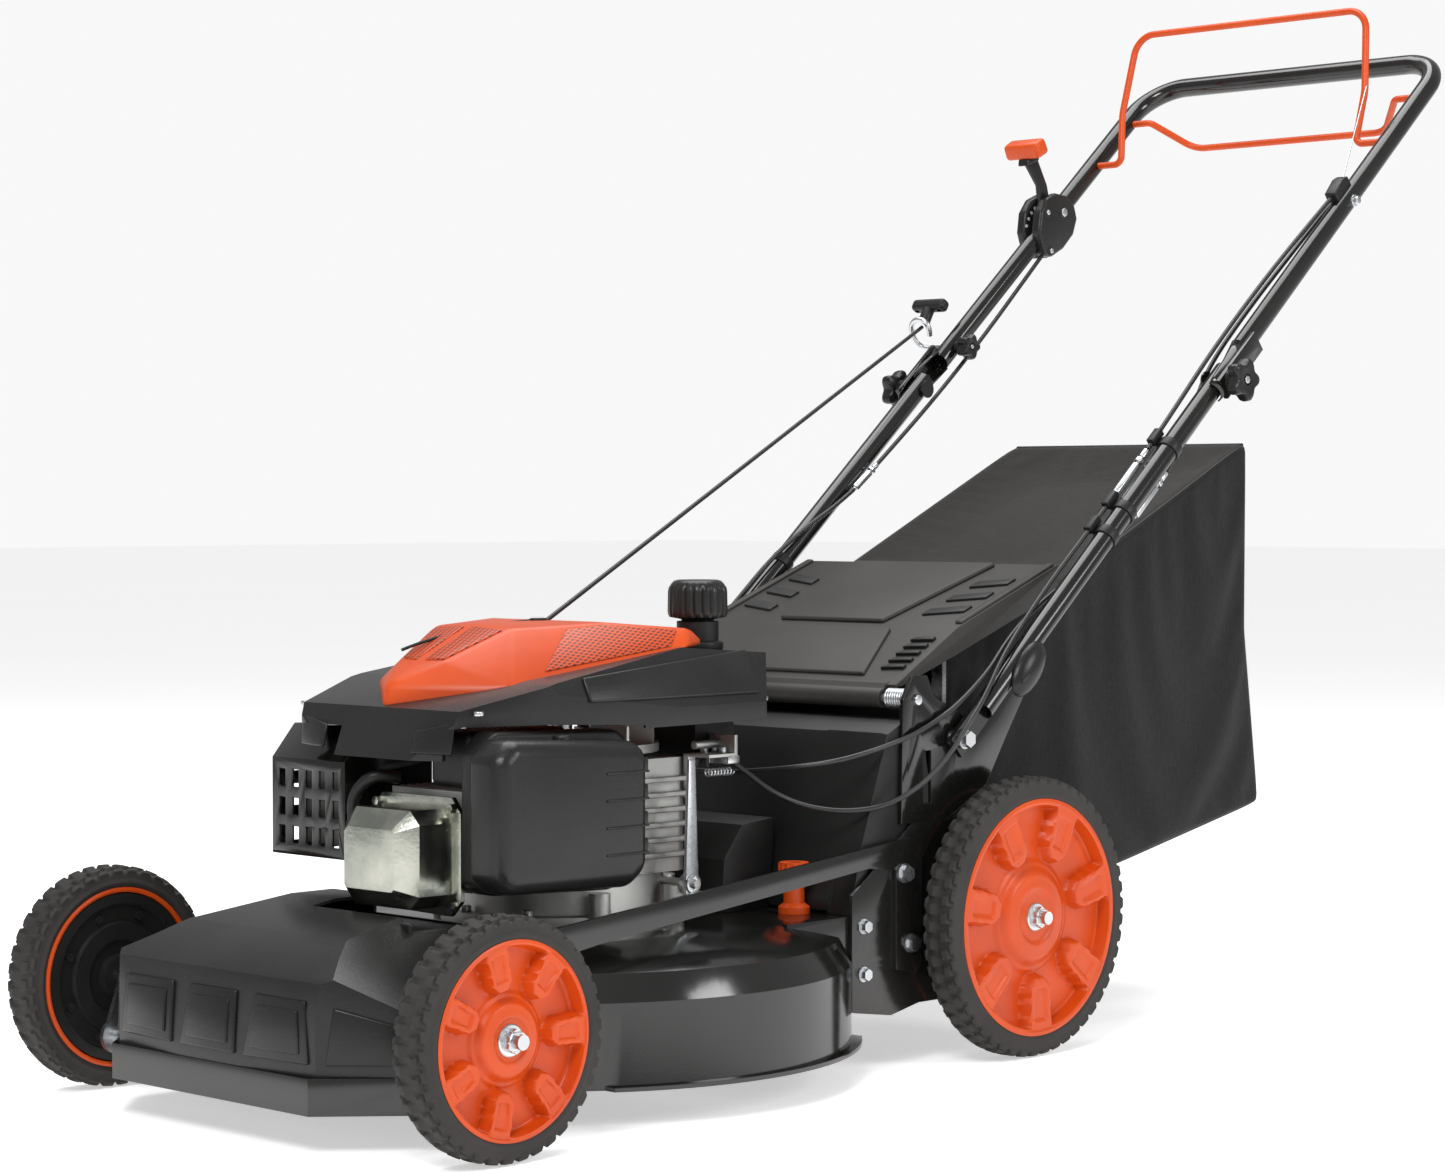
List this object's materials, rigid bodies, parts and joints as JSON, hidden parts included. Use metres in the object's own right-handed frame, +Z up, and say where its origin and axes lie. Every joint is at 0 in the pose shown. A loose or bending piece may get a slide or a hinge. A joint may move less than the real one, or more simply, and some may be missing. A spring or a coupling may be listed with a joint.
{
  "type": "push lawn mower",
  "caption": "Self-propelled petrol push lawn mower with a faceted steel deck, vertical-shaft engine, orange wheels, rear grass bag and folding U-shaped handle with bails.",
  "frame": {"origin": "on the ground, under the middle of the bounding box", "axes": "+X to the mower's left side, +Y from the front wheels to the handle, +Z up"},
  "size_m": [0.593, 1.6224, 1.097],
  "materials": {
    "black_paint": "satin black powder coat",
    "black_plastic": "satin moulded plastic",
    "orange_plastic": "satin orange moulded plastic",
    "tyre": "black rubber",
    "bag_fabric": "black woven mesh",
    "black_rubber": "black sheath",
    "rope": "black braided cord",
    "cast_alloy": "cast, matt",
    "grey_paint": "satin grey",
    "zinc_steel": "zinc plated",
    "steel": "dark steel"
  },
  "bodies": {
    "deck": {"deck_shell": "black_paint", "axle_bushes": "zinc_steel", "front_hood": "black_plastic", "hose_port": "orange_plastic", "side_plates": "black_paint", "handle_brackets": "black_paint", "deck_bolts": "zinc_steel", "rear_housing": "black_plastic", "hinge_rod": "zinc_steel", "crankcase": "cast_alloy", "cylinder": "cast_alloy", "valve_cover": "grey_paint", "spark_plug_lead": "black_plastic", "muffler": "steel", "muffler_guard": "black_paint", "air_cleaner_base": "black_plastic", "air_cleaner_cover": "black_plastic", "carburettor": "cast_alloy", "engine_shroud": "black_plastic", "starter_cover": "orange_plastic", "fuel_tank": "black_plastic", "drive_belt": "black_rubber"},
    "front_axle": {"front_axle": "black_paint"},
    "rear_axle": {"rear_axle": "zinc_steel", "gearbox": "cast_alloy", "height_lever": "black_paint"},
    "wheel_front_left": {"tyre_front_left": "tyre", "rim_front_left": "orange_plastic"},
    "wheel_front_right": {"tyre_front_right": "tyre", "rim_front_right": "orange_plastic"},
    "wheel_rear_left": {"tyre_rear_left": "tyre", "rim_rear_left": "orange_plastic"},
    "wheel_rear_right": {"tyre_rear_right": "tyre", "rim_rear_right": "orange_plastic"},
    "crank": {"crankshaft": "zinc_steel", "blade": "steel", "flywheel": "cast_alloy"},
    "starter_pulley": {"starter_pulley": "orange_plastic"},
    "starter_grip": {"starter_grip": "black_rubber"},
    "fuel_cap": {"fuel_cap": "black_plastic"},
    "governor_arm": {"governor_arm": "black_plastic"},
    "rear_door": {"rear_door": "black_plastic"},
    "grass_bag": {"grass_bag": "bag_fabric", "bag_frame": "zinc_steel"},
    "lower_handle": {"lower_tubes": "black_paint", "cable_adjusters": "zinc_steel", "stop_cable": "black_rubber", "drive_cable": "black_rubber", "speed_cable": "black_rubber", "starter_rope": "rope"},
    "upper_handle": {"upper_handle": "black_paint", "lever_housing": "black_plastic", "rope_guide": "zinc_steel", "cable_stop": "black_plastic"},
    "star_knobs": {"star_knobs": "black_plastic"},
    "handle_latches": {"handle_latches": "black_plastic"},
    "stop_bail": {"stop_bail": "black_paint"},
    "drive_bail": {"drive_bail": "black_paint"},
    "speed_lever": {"speed_lever": "orange_plastic"}
  },
  "joints": [
    {"name": "height_adjust", "type": "hinge", "parent": "deck", "child": "front_axle", "pos_m": [0, -0.72711, 0.0512], "axis": [1, 0, 0], "range_deg": [-70, 0]},
    {"name": "rear_height", "type": "hinge", "parent": "deck", "child": "rear_axle", "pos_m": [0, -0.01181, 0.0856], "axis": [1, 0, 0], "range_deg": [-70, 0], "deforming": ["drive_belt"]},
    {"name": "spin_front_left", "type": "hinge", "parent": "front_axle", "child": "wheel_front_left", "pos_m": [0.267, -0.70961, 0.1016], "axis": [1, 0, 0], "continuous": true},
    {"name": "spin_front_right", "type": "hinge", "parent": "front_axle", "child": "wheel_front_right", "pos_m": [-0.267, -0.70961, 0.1016], "axis": [1, 0, 0], "continuous": true},
    {"name": "spin_rear_left", "type": "hinge", "parent": "rear_axle", "child": "wheel_rear_left", "pos_m": [0.2376, 0.00569, 0.136], "axis": [1, 0, 0], "continuous": true},
    {"name": "spin_rear_right", "type": "hinge", "parent": "rear_axle", "child": "wheel_rear_right", "pos_m": [-0.2376, 0.00569, 0.136], "axis": [1, 0, 0], "continuous": true},
    {"name": "crank_spin", "type": "hinge", "parent": "deck", "child": "crank", "pos_m": [0, -0.38961, 0.052], "axis": [0, 0, 1], "continuous": true},
    {"name": "rope_pull", "type": "slide", "parent": "upper_handle", "child": "starter_grip", "axis": [0, 0.5, 0.866], "range_m": [0, 0.25], "stiffness_N_per_m": 8, "springref_m": -0.3},
    {"name": "pulley_spin", "type": "hinge", "parent": "deck", "child": "starter_pulley", "pos_m": [0, -0.38961, 0.403], "axis": [0, 0, 1], "range_deg": [0, 300]},
    {"name": "fuel_cap_turn", "type": "hinge", "parent": "deck", "child": "fuel_cap", "pos_m": [0.05, -0.25761, 0.44], "axis": [0, 0, 1], "range_deg": [0, 90]},
    {"name": "governor_turn", "type": "hinge", "parent": "deck", "child": "governor_arm", "pos_m": [0.12, -0.33761, 0.186], "axis": [1, 0, 0], "range_deg": [-8, 8], "stiffness_Nm_per_rad": 0.3},
    {"name": "door_hinge", "type": "hinge", "parent": "deck", "child": "rear_door", "pos_m": [0, -0.11261, 0.349], "axis": [1, 0, 0], "range_deg": [0, 30]},
    {"name": "bag_slide", "type": "slide", "parent": "deck", "child": "grass_bag", "axis": [0, 1, 0], "range_m": [0, 0.3]},
    {"name": "lower_fold", "type": "hinge", "parent": "deck", "child": "lower_handle", "pos_m": [0, -0.05461, 0.3094], "axis": [1, 0, 0], "range_deg": [0, 60], "deforming": ["stop_cable", "drive_cable", "speed_cable", "starter_rope"]},
    {"name": "upper_fold", "type": "hinge", "parent": "lower_handle", "child": "upper_handle", "pos_m": [0, 0.36133, 0.66465], "axis": [1, 0, 0], "range_deg": [0, 95]},
    {"name": "knob_turn", "type": "hinge", "parent": "lower_handle", "child": "star_knobs", "pos_m": [0, 0.36133, 0.66465], "axis": [1, 0, 0], "continuous": true},
    {"name": "latch_turn", "type": "hinge", "parent": "lower_handle", "child": "handle_latches", "pos_m": [0, 0.03141, 0.37498], "axis": [1, 0, 0], "range_deg": [0, 60]},
    {"name": "stop_bail_pivot", "type": "hinge", "parent": "upper_handle", "child": "stop_bail", "pos_m": [0, 0.68139, 0.939], "axis": [1, 0, 0], "range_deg": [-33, 0], "stiffness_Nm_per_rad": 2, "springref_deg": 34.38},
    {"name": "drive_bail_pivot", "type": "hinge", "parent": "upper_handle", "child": "drive_bail", "pos_m": [0, 0.74939, 0.994], "axis": [1, 0, 0], "range_deg": [0, 45], "stiffness_Nm_per_rad": 2, "springref_deg": -34.38},
    {"name": "speed_lever_pivot", "type": "hinge", "parent": "upper_handle", "child": "speed_lever", "pos_m": [-0.207, 0.58871, 0.8849], "axis": [1, 0, 0], "range_deg": [0, 45]}
  ],
  "couplings": [
    {"joint": "rear_height", "follows": "height_adjust", "ratio": 1},
    {"joint": "pulley_spin", "follows": "rope_pull", "rad_per_m": 20}
  ]
}
